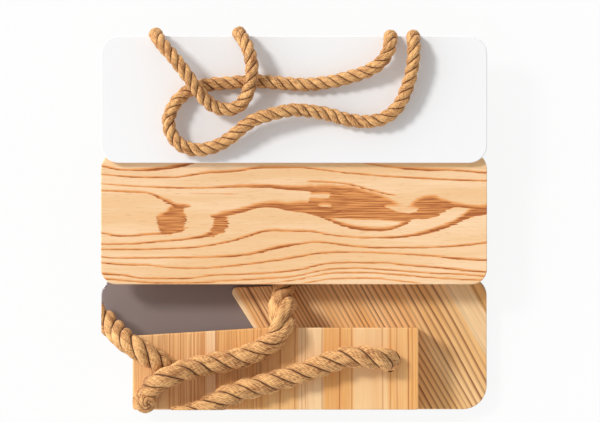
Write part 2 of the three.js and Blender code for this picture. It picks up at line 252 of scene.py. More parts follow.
def twisted(name, laid, turn, yarns, dice, crease_shade_share):
    """Strands laid side by side, as a new object. Each has its centre line, its way out from the
    rope's middle and its radius."""
    strands = []
    for one in laid:
        others = [(centre, radius) for centre, _, radius in laid if centre is not one[0]]
        strands.append(strand(*one, YARN_LEAN * turn, yarns, dice, others))
        strands[-1]["crease_shade"] *= np.reshape(crease_shade_share, (-1, 1))
    return placed(name, strands_mesh(name, strands))


def laid_rope(name, points, diameter, lays, yarns, seed):
    """A three-strand rope as a new object, and the line that it follows. Each lay is a share of
    the rope's length, its pitch there and how much it swells."""
    dice = np.random.default_rng(seed)
    shares, pitches, swells = zip(*lays)
    route = smooth_route(points, min(pitches) / RINGS_PER_PITCH)
    run = run_along(route)
    along = unit(np.gradient(route, axis=0))
    side = carried_side(along)
    pitch = np.interp(run / run[-1], shares, pitches)
    swell = np.interp(run / run[-1], shares, swells)
    half = diameter / 2 * SHOWN_SHARE * swell
    closed = 1 - np.clip(LOOSE_FADE * (swell - 1), 0, MOST_FADE)
    turn = summed(TURN * np.diff(run) / pitch[1:])
    laid = []
    for k in range(STRANDS):
        angle = turn + TURN * (k + TURN_WANDER * wander(run, dice)) / STRANDS
        outward = np.cos(angle)[:, None] * side + np.sin(angle)[:, None] * np.cross(along, side)
        radius = half * STRAND_SHARE * (1 + WANDER_SHARE * wander(run, dice))
        out = half * (1 - STRAND_SHARE) * (1 + WANDER_SHARE * wander(run, dice))
        laid.append((route + out[:, None] * outward, outward, radius))
    return twisted(name, laid, turn, yarns, dice, closed), route


def even_lay(pitch, swell=1):
    return (0, pitch, swell), (1, pitch, swell)


def metres(point):
    return [value * MM for value in point]


def in_place(rope, *cad_nodes):
    """Puts a piece of rope in place of its CAD nodes."""
    if not rope.data.materials:
        rope.data.materials.append(jute_rope)
    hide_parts(*cad_nodes)


def shown_rope(rope, node):
    in_place(rope, node)


def add(tree, kind, inputs=None, **settings):
    """A new node. Its inputs are sockets to link or values to set."""
    node = tree.nodes.new(kind)
    for key, value in settings.items():
        setattr(node, key, value)
    for key, value in (inputs or {}).items():
        if isinstance(value, bpy.types.NodeSocket):
            tree.links.new(value, node.inputs[key])
        else:
            node.inputs[key].default_value = value
    return node


def calc(tree, operation, *values, clamp=False):
    inputs = dict(enumerate(values))
    return add(tree, "ShaderNodeMath", inputs, operation=operation, use_clamp=clamp).outputs[0]


def chained(operation):
    """That operation on any number of sockets or numbers, from the first one on."""
    return lambda tree, *values: reduce(lambda one, other: calc(tree, operation, one, other), values)


plus, minus, times, greatest = map(chained, ("ADD", "SUBTRACT", "MULTIPLY", "MAXIMUM"))


def scaled(tree, value, slope, offset):
    return calc(tree, "MULTIPLY_ADD", value, slope, offset)


def between(tree, value, low, high, out_low=0.0, out_high=1.0, smooth=True):
    """The value's place between two limits, clamped."""
    return add(
        tree, "ShaderNodeMapRange",
        {"Value": value, "From Min": low, "From Max": high, "To Min": out_low, "To Max": out_high},
        interpolation_type="SMOOTHSTEP" if smooth else "LINEAR",
    ).outputs[0]


def colour(red, green, blue):
    """A colour written as it looks on a screen, from 0 to 255, as Blender's linear colour."""
    shares = (c / 255 for c in (red, green, blue))
    return (*(((c + 0.055) / 1.055) ** 2.4 if c > 0.04 else c / 12.92 for c in shares), 1)


def mixed(tree, share, first, second):
    """Between two colours, each a socket or written as it looks on a screen."""
    first, second = (colour(*tone) if isinstance(tone, tuple) else tone for tone in (first, second))
    inputs = {0: share, 6: first, 7: second}
    return add(tree, "ShaderNodeMix", inputs, data_type="RGBA", clamp_factor=True).outputs[2]


def noise(tree, vector, scale=1.0, detail=2.0, roughness=0.5):
    inputs = {"Vector": vector, "Scale": scale, "Detail": detail, "Roughness": roughness}
    return add(tree, "ShaderNodeTexNoise", inputs).outputs[0]


def stretched(tree, vector, scale, turn=(0, 0, 0)):
    """A vector turned and then scaled, for a pattern that is longer one way."""
    inputs = {"Vector": vector, "Rotation": turn}
    turned = add(tree, "ShaderNodeVectorRotate", inputs, rotation_type="EULER_XYZ").outputs[0]
    return add(tree, "ShaderNodeVectorMath", {0: turned, 1: scale}, operation="MULTIPLY").outputs[0]


def new_material(name, **settings):
    material = bpy.data.materials.new(name)
    material.use_nodes = True
    surface = material.node_tree.nodes["Principled BSDF"]
    for key, value in settings.items():
        surface.inputs[key.replace("_", " ")].default_value = value
    return material, material.node_tree, surface


def finish(tree, surface, tone, grain=None, depth=0.05 * MM, strength=0.4):
    """Joins a colour to a surface, and the height of its grain."""
    tree.links.new(tone, surface.inputs["Base Color"])
    if grain:
        bump = add(tree, "ShaderNodeBump", {"Height": grain, "Strength": strength, "Distance": depth})
        tree.links.new(bump.outputs[0], surface.inputs["Normal"])


# Golden jute has short bright and dark fibres in each yarn. Painted shade darkens the grooves between yarns
# and the creases where strands meet.
JUTE_SHADE, JUTE_LIGHT = (146, 80, 28), (254, 199, 130)
YARN_GROOVE_SHADE = (112, 54, 17)
STRAND_SHADE, STRAND_CREASE_SHADE = (130, 74, 30), (86, 42, 15)
jute_rope, tree, surface = new_material(
    "jute_rope", Roughness=0.8, Sheen_Weight=0.1, Sheen_Roughness=0.5)
lay = add(tree, "ShaderNodeUVMap", uv_map="lay").outputs[0]
groove, crease_shade, yarn = (
    add(tree, "ShaderNodeAttribute", attribute_name=key).outputs["Fac"]
    for key in ("groove", "crease_shade", "yarn")
)
fibre = noise(tree, stretched(tree, lay, (120, 1700, 1)), detail=3, roughness=0.65)
grains = noise(tree, stretched(tree, lay, (170, 950, 1)), detail=2, roughness=0.6)
blotch = noise(tree, stretched(tree, lay, (40, 60, 1)), detail=1)
shares = ((fibre, 0.5), (grains, 0.9), (yarn, 0.22), (blotch, 0.3))
tone = plus(tree, *(times(tree, value, share) for value, share in shares))
tone = mixed(tree, between(tree, tone, 0.7, 1.16), JUTE_SHADE, JUTE_LIGHT)
# Painted shade in the grooves between yarns.
tone = mixed(tree, between(tree, groove, 0.3, 0.9, 0, 0.7), tone, YARN_GROOVE_SHADE)
# Painted shade: darker near the neighbouring strands, and darkest in the crease where they meet.
tone = mixed(tree, between(tree, crease_shade, 0.0, 0.6, 0, 0.25), tone, STRAND_SHADE)
tone = mixed(tree, between(tree, crease_shade, 0.56, 0.88, 0, 0.95), tone, STRAND_CREASE_SHADE)
finish(tree, surface, tone, plus(tree, fibre, grains), 0.3 * MM, 0.8)


def strand_run(x):
    """Through the crossbar from its front face to its back face, and a little out of it."""
    places = (TOP_BAR_FRONT, 132, 146, 160, TOP_BAR_BACK)
    return [(x, y, HOLE_HEIGHT) for y in places] + [(x, 186, HOLE_HEIGHT + 0.5)]


left_loop_points = [
    *strand_run(LEFT_HOLES[0]),
    (-164, 200, 24), (-163, 210, 33), (-162, 217, 46), (-161, 219.5, 60), (-160, 218, 73), (-157, 213, 83),
    (-151, 205, 91), (-143, 196, 96), (-132, 182, 99), (-121, 167, 99), (-111, 153, 95), (-101, 141, 88),
    (-90, 134, 84), (-77, 132, 83), (-64, 136, 84), (-55, 149, 88), (-50, 166, 92), (-49, 183, 92),
    (-52, 198, 90), (-57, 210, 84), (-62, 218, 74), (-64, 221, 60), (-64, 218, 46), (-64, 211, 33),
    (-64, 200, 24),
    *strand_run(LEFT_HOLES[1])[::-1],
]
right_loop_points = [
    *strand_run(RIGHT_HOLES[0]),
    (109, 199, 23), (111, 209, 30), (112, 215, 41), (112.5, 217, 53), (112.5, 217, 63), (112.5, 215.5, 73),
    (112, 209, 81.5), (109, 198, 85), (101, 187, 85), (86, 177, 82), (66, 170, 79), (41, 164, 76.5),
    (12, 161, 75), (-18, 163, 75), (-49, 165, 75), (-74, 163, 75), (-98, 161, 75), (-116, 157, 75.5),
    (-130, 148, 78), (-140, 136, 80.5), (-146, 121, 81), (-143, 104, 81), (-131, 90, 80.5), (-112, 85, 80),
    (-92, 89, 80.5), (-74, 99, 83), (-61, 110, 86), (-46, 120, 88), (-27, 126, 89), (-4, 131, 87),
    (19, 130, 81), (41, 126, 76.5), (63, 120, 75.5), (86, 118, 77), (105, 122, 78.5), (120, 134, 79.5),
    (130, 153, 81), (136.5, 174, 82.5), (139.5, 195, 84), (139.5, 208, 81.5), (139, 215.5, 73),
    (139, 217, 63), (139, 217, 53), (139.5, 215, 41), (140.5, 209, 30), (142, 199, 23),
    *strand_run(RIGHT_HOLES[1])[::-1],
]

# A stopper knot on each end of the thin ropes keeps it from slipping back through the top
# crossbar. It is wound from one of the rope's own strands, over and under, round the cut end.
KNOT_MIDDLE_Y = 103.75
KNOT_CORE = ((0, -12.4, 0), (0, -4, 0), (0, 4, 0), (0, 12.4, 0))
KNOT_CORE_SWELL = 0.96
KNOT_SIZES = (
    ("First Knot", "Vector", (0, 0, 0)),
    ("To The Next Knot", "Vector", (0, 0, 0)),
    ("Steps", "Int", 300),
    ("Wraps", "Int", 3),
    ("Bights", "Int", 4),
    ("Winding Radius", "Float", 11.6 * MM),
    ("Half Length", "Float", 9.2 * MM),
    ("Over And Under", "Float", 2.0 * MM),
    ("Strand Radius", "Float", 4.2 * MM),
    ("Yarns", "Int", 9),
    ("Yarn Turns", "Int", 12),
    ("Yarn Depth", "Float", 0.12),
    ("Seed", "Int", 2),
    ("Material", "Material", None),
)

knot_maker = bpy.data.node_groups.new("stopper_knots", "GeometryNodeTree")
for direction in ("INPUT", "OUTPUT"):
    knot_maker.interface.new_socket("Geometry", in_out=direction, socket_type="NodeSocketGeometry")
knot_keys = {
    name: knot_maker.interface.new_socket(name, in_out="INPUT", socket_type=f"NodeSocket{kind}").identifier
    for name, kind, _ in KNOT_SIZES
}
given = knot_maker.nodes.new("NodeGroupInput").outputs


def step(kind, inputs=None, **settings):
    return add(knot_maker, kind, inputs, **settings).outputs[0]


def sums(operation, *values):
    return calc(knot_maker, operation, *values)


def product(*values):
    return times(knot_maker, *values)


def named(geometry, name, value, data_type="FLOAT", domain="POINT"):
    inputs = {"Geometry": geometry, "Name": name, "Value": value}
    return step("GeometryNodeStoreNamedAttribute", inputs, data_type=data_type, domain=domain)


# The strand's line goes round the core and to and fro along it, with a weave over and under.
share = step("GeometryNodeSplineParameter")
turn = product(share, TURN)
swing = product(turn, given["Bights"])
lateral, weave = sums("COSINE", swing), sums("SINE", product(swing, 2.0))
crown = sums("SUBTRACT", 1.0, product(lateral, lateral, 0.25))
reach = sums("ADD", product(given["Winding Radius"], crown), product(weave, given["Over And Under"]))
round_turn = product(turn, given["Wraps"])
place = step("ShaderNodeCombineXYZ", {
    0: product(reach, sums("COSINE", round_turn)), 1: product(lateral, given["Half Length"]),
    2: product(reach, sums("SINE", round_turn)),
})
line = step("GeometryNodeCurvePrimitiveCircle", {"Resolution": given["Steps"], "Radius": 1.0})
line = step("GeometryNodeSetPosition", {"Geometry": line, "Position": place})
tilt = product(turn, given["Yarn Turns"])
line = step("GeometryNodeSetCurveTilt", {"Curve": line, "Tilt": tilt})
# Painted shade: the strand is darker where it dips under the next pass.
line = named(line, "crease_shade", sums("MULTIPLY_ADD", weave, -0.3, 0.3))
line = named(line, "along", product(given["Winding Radius"], given["Wraps"], turn))

# The strand's outline has a flute between its yarns.
lobe = sums("ABSOLUTE", sums("SINE", product(given["Yarns"], 0.5, turn)))
groove = sums("SUBTRACT", 1.0, lobe)
sunk = sums("SUBTRACT", 1.0, product(groove, given["Yarn Depth"]))
profile = step("GeometryNodeCurvePrimitiveCircle", {
    "Resolution": product(given["Yarns"], 5.0), "Radius": given["Strand Radius"]})
spot = step("GeometryNodeInputPosition")
spot = step("ShaderNodeVectorMath", {0: spot, "Scale": sunk}, operation="SCALE")
profile = step("GeometryNodeSetPosition", {"Geometry": profile, "Position": spot})
# The flutes between yarns are darkened with painted shade through the groove attribute.
profile = named(profile, "groove", groove)
yarn = sums("FLOOR", product(share, given["Yarns"]))
yarn = step("ShaderNodeTexWhiteNoise", {"W": yarn}, noise_dimensions="1D")
profile = named(profile, "yarn", yarn)
profile = named(profile, "round", product(turn, given["Strand Radius"]))

wound = step("GeometryNodeCurveToMesh", {"Curve": line, "Profile Curve": profile})
wound = step("GeometryNodeSetShadeSmooth", {0: wound})
along, around = (
    step("GeometryNodeInputNamedAttribute", {"Name": key}, data_type="FLOAT")
    for key in ("along", "round")
)
lay = step("ShaderNodeCombineXYZ", {0: along, 1: around})
wound = named(wound, "lay", lay, data_type="FLOAT2", domain="CORNER")
knot = knot_maker.nodes.new("GeometryNodeJoinGeometry")
for part in (given["Geometry"], wound):
    knot_maker.links.new(part, knot.inputs[0])
places = step("GeometryNodeMeshLine", {
    "Count": 2, "Start Location": given["First Knot"], "Offset": given["To The Next Knot"]})
inputs = {"Max": TURN, "Seed": given["Seed"]}
spin = add(knot_maker, "FunctionNodeRandomValue", inputs, data_type="FLOAT").outputs[1]
spin = step("ShaderNodeCombineXYZ", {1: spin})
pair = step("GeometryNodeInstanceOnPoints", {
    "Points": places, "Instance": knot.outputs[0], "Rotation": spin})
pair = step("GeometryNodeRealizeInstances", {0: pair})
pair = step("GeometryNodeSetMaterial", {"Geometry": pair, "Material": given["Material"]})
knot_maker.links.new(pair, knot_maker.nodes.new("NodeGroupOutput").inputs[0])


def stopper_knots(name, places, seed):
    """The two knots of one rope, baked to a mesh."""
    pair, _ = laid_rope(
        name, KNOT_CORE, THIN_ROPE, even_lay(THIN_PITCH, KNOT_CORE_SWELL), THIN_YARNS, seed)
    first, last = (np.array((x, KNOT_MIDDLE_Y, HOLE_HEIGHT)) * MM for x in places)
    modifier = pair.modifiers.new("knots", "NODES")
    modifier.node_group = knot_maker
    values = {key: value for key, _, value in KNOT_SIZES}
    values |= {"First Knot": first, "To The Next Knot": last - first, "Seed": seed, "Material": jute_rope}
    for key, value in values.items():
        modifier[knot_keys[key]] = value
    bpy.context.view_layer.update()
    baked = bpy.data.meshes.new_from_object(pair.evaluated_get(bpy.context.evaluated_depsgraph_get()))
    pair.modifiers.clear()
    pair.data = baked
    baked.name = name
    return pair


for name, points, holes, knots, seed in (
    ("left_hanging_rope", left_loop_points, LEFT_HOLES, (1, 2), 3),
    ("right_hanging_rope", right_loop_points, RIGHT_HOLES, (3, 4), 4),
):
    pair = stopper_knots(f"{name}_knots", holes, seed)
    in_place(pair, *(f"stopper_knot_{k}" for k in knots))
    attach(pair, "top_tier")
    rope, route = laid_rope(
        f"{name}_strands", points, THIN_ROPE, even_lay(THIN_PITCH), THIN_YARNS, seed)
    shown_rope(rope, name)
    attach(rope, "top_tier")

# The thick ropes are 26 mm, of the same jute. Two stand in sockets of the bottom crossbar, and the
# third comes out of the middle crossbar's front face. Two are cut off where they leave the pile.
THICK_ROPE = 26 * MM
THICK_PITCH = 63 * MM
TIGHT_PITCH = 42 * MM
THICK_YARNS = 20
LEFT_EDGE = -225
FRONT_EDGE = -217.75
SEAT_GAP = 0.3
TIP_REACH = 0.65 * THICK_ROPE
FRONT_ROPE_TIP = -143
CUT_LOOK = (("crease_shade", 0.3), ("groove", 0.35))  # the most painted crease and groove shade on a cut face
CUT_STEP = 0.12 * MM

edge_rope_points = [
    (-144, -172, 34), (-144, -172, 40), (-144.5, -171.5, 48), (-147, -169, 57), (-152, -166, 67),
    (-160, -161, 74), (-169, -155, 77.5), (-180, -148, 78), (-191, -141, 73), (-200, -134, 63),
    (-208, -126, 51), (-216, -118, 40), (-225, -110, 31), (-234, -102, 24),
]
front_rope_points = [
    (110.5, -160.5, 34), (110.5, -160.5, 42), (110.5, -160.5, 52), (111, -160.5, 60), (110.5, -160.5, 69),
    (106.5, -159.5, 77.5), (98, -158, 83.5), (86, -156, 85.5), (72, -155.5, 84.5), (57, -157.5, 82),
    (40, -163, 80), (22, -170, 78.5), (3, -176.5, 77.5), (-17, -183, 77.5), (-36, -188.5, 77.5),
    (-56, -194, 77.5), (-74, -200, 77.5), (-89, -207.5, 77.5), (-104, -216.5, 77.5), (-119, -222, 77.5),
    (-139, -227, 77.5), (-157, -231, 77.5),
]
tier_rope_points = [
    (-12, -42.6, 24), (-12, -46, 24), (-12, -50, 24.4), (-12, -55, 26.4), (-12, -61, 29.5), (-12, -67, 31.3),
    (-12, -74, 31.7), (-12.5, -81, 33.2), (-13.5, -88, 39), (-13.5, -95, 49), (-13, -103, 61.5),
    (-13, -112, 73), (-14.5, -122, 79.5), (-19.5, -131.5, 80.5), (-29, -141, 79), (-44, -150, 78),
    (-61, -156.5, 77.5), (-82, -161.5, 77.5), (-103, -165.5, 79), (-121, -170, 84), (-135.5, -175, 90),
    (-147, -180, 92.5), (-157, -184.5, 90), (-163.5, -189, 84), (-167.5, -193, 79), (-170, -196.5, 76),
]


def trimmed(rope, route, place, outward):
    """Trims a rope at a plane, with its strands closed there, each a little short of the last. Its
    line runs on to beside their last tip."""
    mesh = bmesh.new()
    mesh.from_mesh(rope.data)
    geometry = mesh.verts[:] + mesh.edges[:] + mesh.faces[:]
    cut = bmesh.ops.bisect_plane(
        mesh, geom=geometry, plane_co=metres(place), plane_no=outward, clear_outer=True)["geom_cut"]
    which = mesh.verts.layers.float["strand"]
    for vertex in (part for part in cut if isinstance(part, bmesh.types.BMVert)):
        vertex.co -= Vector(outward) * CUT_STEP * vertex[which]
        for key, value in CUT_LOOK:
            layer = mesh.verts.layers.float[key]
            vertex[layer] = min(vertex[layer], value)
    bmesh.ops.holes_fill(mesh, edges=[edge for edge in mesh.edges if edge.is_boundary])
    mesh.to_mesh(rope.data)
    mesh.free()
    places = (vertex.co for vertex in rope.data.vertices)
    tip = max(places, key=lambda co: np.argmin(np.linalg.norm(route - co, axis=1)))
    return route[:np.argmax(np.linalg.norm(route - tip, axis=1) < TIP_REACH) + 1]


EDGE_ROPE_LAYS = ((0, TIGHT_PITCH, 1), (1, THICK_PITCH, 1))
edge_rope, edge_route = laid_rope(
    "edge_rope_strands", edge_rope_points, THICK_ROPE, EDGE_ROPE_LAYS, THICK_YARNS, 5)
trimmed(edge_rope, edge_route, (LEFT_EDGE, 0, 0), (-1, 0, 0))
in_place(edge_rope, "edge_rope")
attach(edge_rope, "bottom_tier")

front_rope, front_route = laid_rope(
    "front_rope_strands", front_rope_points, THICK_ROPE, even_lay(THICK_PITCH), THICK_YARNS, 6)
trimmed(front_rope, front_route, (0, FRONT_EDGE - SEAT_GAP, 0), (0, -1, 0))
front_route = trimmed(front_rope, front_route, (FRONT_ROPE_TIP, 0, 0), (-1, 0, 0))
shown_rope(front_rope, "front_rope")
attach(front_rope, "bottom_tier")

# The tier rope's lay is opened and swollen where it comes out from under the middle board.
TIER_ROPE_LAYS = (
    (0, THICK_PITCH, 1), (0.17, THICK_PITCH, 1), (0.24, 2.2 * THICK_PITCH, 1.33),
    (0.31, 2 * THICK_PITCH, 1.18), (0.38, THICK_PITCH, 1), (1, THICK_PITCH, 1),
)
tier_rope, tier_route = laid_rope(
    "tier_rope_strands", tier_rope_points, THICK_ROPE, TIER_ROPE_LAYS, THICK_YARNS, 7)
shown_rope(tier_rope, "tier_rope")
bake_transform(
    tier_rope, "bottom_tier", "middle_tier",
    start=metres((-174, -207, 77)), end=metres((-12, -42.6, 24)))

# The tier rope's cut end is turned up on the crossbar's front left corner. Its three strands
# wind round each other up to a low dome, and it leans a little to the front.
END_FOOT = (-176, -206.75, 63.9)
END_HEIGHT = 26.5
END_RADIUS = 13.0
END_SHOULDER = 14.0
END_LEAN = (7.5, -6.0)
END_TURNS = (0.45, 0.95)  # up the straight part, and over the dome
END_EASE = 1.2
END_ROUNDNESS = 0.7
END_POLE_SHARE = 0.55
END_STRAND_SHARE = 0.45
END_CREASE_SHADE_SHARE = 0.8
RINGS_A_TURN = 40


def turned_end(name, seed):
    dice = np.random.default_rng(seed)
    straight, domed = (round(turns * RINGS_A_TURN) for turns in END_TURNS)
    swing = np.concatenate([np.zeros(straight), np.linspace(0, math.pi / 2, domed)])
    rise = np.concatenate([np.linspace(0, END_SHOULDER, straight), np.full(domed, END_SHOULDER)])
    turn = np.concatenate([
        np.linspace(-END_TURNS[0], 0, straight),
        END_TURNS[1] * np.linspace(0, 1, domed) ** END_EASE,
    ]) * TURN
    radius = END_RADIUS * END_STRAND_SHARE * (1 - (1 - END_POLE_SHARE) * np.sin(swing) ** 2)
    height = rise + (END_HEIGHT - END_SHOULDER - radius[-1]) * np.sin(swing)
    lean = (height / END_HEIGHT)[:, None] ** 2 * np.array([*END_LEAN, 0])
    laid = []
    for k in range(STRANDS):
        angle = turn + TURN * k / STRANDS
        level = np.stack([np.cos(angle), np.sin(angle), 0 * angle], axis=1)
        round_dome = np.cos(swing)[:, None] ** END_ROUNDNESS
        centre = (END_RADIUS - radius[0]) * round_dome * level + lean
        centre[:, 2] += height
        outward = np.cos(swing)[:, None] * level + np.sin(swing)[:, None] * np.array([0, 0, 1])
        laid.append(((centre + END_FOOT) * MM, outward, radius * MM))
    return twisted(name, laid, turn, THICK_YARNS, dice, END_CREASE_SHADE_SHARE)


turned_up = turned_end("tier_rope_turned_end_strands", 8)
in_place(turned_up, "tier_rope_turned_end")
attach(turned_up, "bottom_tier")

# The tier rope's other end is the same three-strand jute. It fills the blind socket in the middle
# crossbar's front face, where it is glued, so it moves with the middle tier.
SOCKET_END = [(-12, y, 24) for y in (-42.2, -32, -22, -13)]
socket_end, _ = laid_rope(
    "tier_rope_socket_end_strands", SOCKET_END, THICK_ROPE, even_lay(THICK_PITCH), THICK_YARNS, 9)
in_place(socket_end, "tier_rope_socket_end")
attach(socket_end, "middle_tier")

# The bottom shelf board is a thin wooden board with one front corner cut away for the edge rope.
# It is lacquered a smooth grey-brown, and dowelled to the crossbar above it.
GREY_TONES = (134, 121, 118), (141, 127, 124)
LACQUER_DEPTH, LACQUER_STRENGTH = 0.02 * MM, 0.15


def on_object(tree):
    """A point's place on the finished piece."""
    return add(tree, "ShaderNodeTexCoord").outputs["Object"]


def finish_node(name, material):
    """Gives a CAD node's surface its material."""
    for slot in nodes[name].material_slots:
        slot.material = material


grey_lacquer, tree, surface = new_material(
    "grey_lacquer", Roughness=0.3, Coat_Weight=0.5, Coat_Roughness=0.15)
place = on_object(tree)
tone = mixed(tree, noise(tree, place, scale=9, detail=1), *GREY_TONES)
grain = noise(tree, place, scale=900, detail=2)
finish(tree, surface, tone, grain, LACQUER_DEPTH, LACQUER_STRENGTH)
finish_node("bottom_shelf_board", grey_lacquer)

# The bottom tier's overlay is a pine board cut at a slant, so that its straight grain runs at
# about 60 degrees over it. The rings are fine at its left and wide at its right.


def node_group(name, inputs, outputs):
    """A shared shader group with number sockets, or vector ones where the name ends in an asterisk."""
    group = bpy.data.node_groups.new(name, "ShaderNodeTree")
    for direction, names in (("INPUT", inputs), ("OUTPUT", outputs)):
        for socket in names:
            kind = "NodeSocketVector" if socket.endswith("*") else "NodeSocketFloat"
            group.interface.new_socket(socket.rstrip("*"), in_out=direction, socket_type=kind)
    return group, group.nodes.new("NodeGroupInput").outputs, group.nodes.new("NodeGroupOutput").inputs


# Year rings: each ring darkens slowly into late wood and ends at once. They differ in strength.
year_rings, given, made = node_group("year_rings", ("Phase", "Evenness"), ("Late Wood",))
ring = calc(year_rings, "FRACT", given["Phase"])
late = times(
    year_rings, between(year_rings, ring, 0.35, 0.88), between(year_rings, ring, 0.9, 0.99, 1, 0))
whole = calc(year_rings, "FLOOR", given["Phase"])
chance = add(year_rings, "ShaderNodeTexWhiteNoise", {"W": whole}, noise_dimensions="1D").outputs[0]
strength = between(year_rings, chance, 0, 1, given["Evenness"], 1.0, smooth=False)
year_rings.links.new(times(year_rings, late, strength), made["Late Wood"])

# Wood fibre: fine streaks along X, with a slower drift of tone between them.
wood_fibre, given, made = node_group("wood_fibre", ("Place*",), ("Streak", "Drift"))
for result, scale, detail, roughness, low, high in (
    ("Streak", (22, 700, 700), 3, 0.6, 0.34, 0.66),
    ("Drift", (5, 45, 45), 2, 0.5, 0.3, 0.7),
):
    grain = stretched(wood_fibre, given["Place"], scale)
    grain = noise(wood_fibre, grain, detail=detail, roughness=roughness)
    wood_fibre.links.new(between(wood_fibre, grain, low, high), made[result])


def group_node(tree, group, **inputs):
    return add(tree, "ShaderNodeGroup", inputs, node_tree=group).outputs


def apart(tree, place):
    """A vector's X, Y and Z."""
    return add(tree, "ShaderNodeSeparateXYZ", {0: place}).outputs


OVERLAY_GRAIN_TURN = math.radians(60)
OVERLAY_TOP = 18.3 * MM
# Places in millimetres across the grain.
SLANTED_EDGE = -101.7
STRONG_RING = -84.7
PALE_PANEL = (116, 141)
OVERLAY_EARLY = (238, 180, 108), (250, 206, 146)
OVERLAY_PALE = (250, 220, 174)
OVERLAY_STREAK = (212, 152, 88)
OVERLAY_LATE = (134, 74, 30)
OVERLAY_EDGE_HIGHLIGHT = (252, 226, 182)
pine_overlay, tree, surface = new_material(
    "pine_overlay", Roughness=0.5, Coat_Weight=0.1, Coat_Roughness=0.3)
grain = stretched(tree, on_object(tree), (1, 1, 1), turn=(0, 0, OVERLAY_GRAIN_TURN))
streak, drift = group_node(tree, wood_fibre, Place=grain)
_, across, upward = apart(tree, grain)
sunk = minus(tree, OVERLAY_TOP, upward)
across_mm = calc(tree, "DIVIDE", scaled(tree, sunk, 0.9, across), MM)
bend = noise(tree, stretched(tree, grain, (4, 30, 4)), detail=1)
widening = times(tree, across_mm, across_mm, -0.00033)
phase = plus(tree, times(tree, across_mm, 0.2), widening, times(tree, bend, 1.6))
late = group_node(tree, year_rings, Phase=phase, Evenness=0.4)[0]
panel = times(tree, *(
    between(tree, across_mm, edge - 0.8, edge + 0.8, *ends)
    for edge, ends in zip(PALE_PANEL, ((0, 1), (1, 0)))))
wood = mixed(tree, drift, *OVERLAY_EARLY)
wood = mixed(tree, times(tree, panel, 0.6), wood, OVERLAY_PALE)
wood = mixed(tree, times(tree, streak, 0.3), wood, OVERLAY_STREAK)
late = times(tree, late, scaled(tree, panel, -0.75, 0.95))
strong = calc(tree, "ABSOLUTE", minus(tree, across_mm, STRONG_RING))
late = greatest(tree, late, between(tree, strong, 0.6, 1.8, 0.95, 0))
wood = mixed(tree, late, wood, OVERLAY_LATE)
# A painted highlight: a pale band along the slanted edge stands for the light that its eased edge catches.
edge = between(tree, across_mm, SLANTED_EDGE + 2.5, SLANTED_EDGE + 4.5, 0.8, 0)
wood = mixed(tree, edge, wood, OVERLAY_EDGE_HIGHLIGHT)
finish(tree, surface, wood, streak)
finish_node("overlay_board", pine_overlay)

# The packing strip fills the space beside the overlay, and two battens lie between the top
# crossbar and the thin top board. All three are plain planed pine, held by the dowels.
PLAIN_EARLY = (238, 190, 128), (246, 208, 154)
PLAIN_LATE = (192, 124, 66)
plain_pine, tree, surface = new_material("plain_pine", Roughness=0.6)
place = on_object(tree)
streak, drift = group_node(tree, wood_fibre, Place=place)
_, across, upward = apart(tree, place)
phase = scaled(tree, across, 190, times(tree, upward, 120))
phase = plus(tree, phase, times(tree, drift, 2))
late = group_node(tree, year_rings, Phase=phase, Evenness=0.3)[0]
wood = mixed(tree, streak, *PLAIN_EARLY)
finish(tree, surface, mixed(tree, times(tree, late, 0.55), wood, PLAIN_LATE))
for name in ("packing_strip", "top_batten_left", "top_batten_right"):
    finish_node(name, plain_pine)

# The crossbars are glued up from upright pine staves, so that every stave's grain runs from
# front to back. The staves differ in tone, and so do how fine and how plain their rings are.
STAVES = (
    # where it starts in photograph pixels, its tone, and how strongly its rings show
    (100, (240, 186, 122), 0.5), (153, (243, 192, 130), 0.6), (173, (242, 188, 124), 0.8),
    (206, (248, 208, 158), 0.4), (217, (238, 178, 104), 0.85), (268, (240, 186, 116), 0.5),
    (281, (240, 186, 116), 0.2), (297, (250, 212, 160), 0.6), (323, (234, 168, 90), 0.2),
    (341, (238, 178, 102), 0.35), (352, (246, 200, 142), 0.15), (386, (242, 184, 114), 0.2),
    (409, (238, 170, 88), 0.35), (440, (244, 194, 132), 0.45), (478, (238, 180, 112), 0.55),
)
STAVE_FIRST, STAVE_LAST = 100, 500
STAVE_LINES = (
    # a strong ring or a glue line in photograph pixels, and how dark it is
    (126, 0.5), (153, 0.6), (170, 0.7), (173.4, 0.5), (181, 0.7), (184, 0.5), (195, 0.7), (199, 0.5),
    (216.5, 0.9), (280.7, 0.8), (295, 0.6), (322.5, 0.5), (340, 0.9), (351.5, 0.6), (382, 0.5),
    (390, 0.6), (397, 0.5), (408, 0.95), (412, 0.5), (455, 0.7),
)
RINGS_UPWARD = 210
BAR_LIGHT, BAR_WARM = (250, 214, 164), (230, 158, 82)
BAR_LATE = (190, 116, 52)


def stave_steps(tree, share, colours):
    """A ramp that steps to a new colour at each stave."""
    node = add(tree, "ShaderNodeValToRGB", {0: share})
    node.color_ramp.interpolation = "CONSTANT"
    elements = node.color_ramp.elements
    while len(elements) < len(colours):
        elements.new(0.5)
    for element, (x, _, _), shade in zip(elements, STAVES, colours):
        element.position = (x - STAVE_FIRST) / (STAVE_LAST - STAVE_FIRST)
        element.color = shade
    return node.outputs[0]


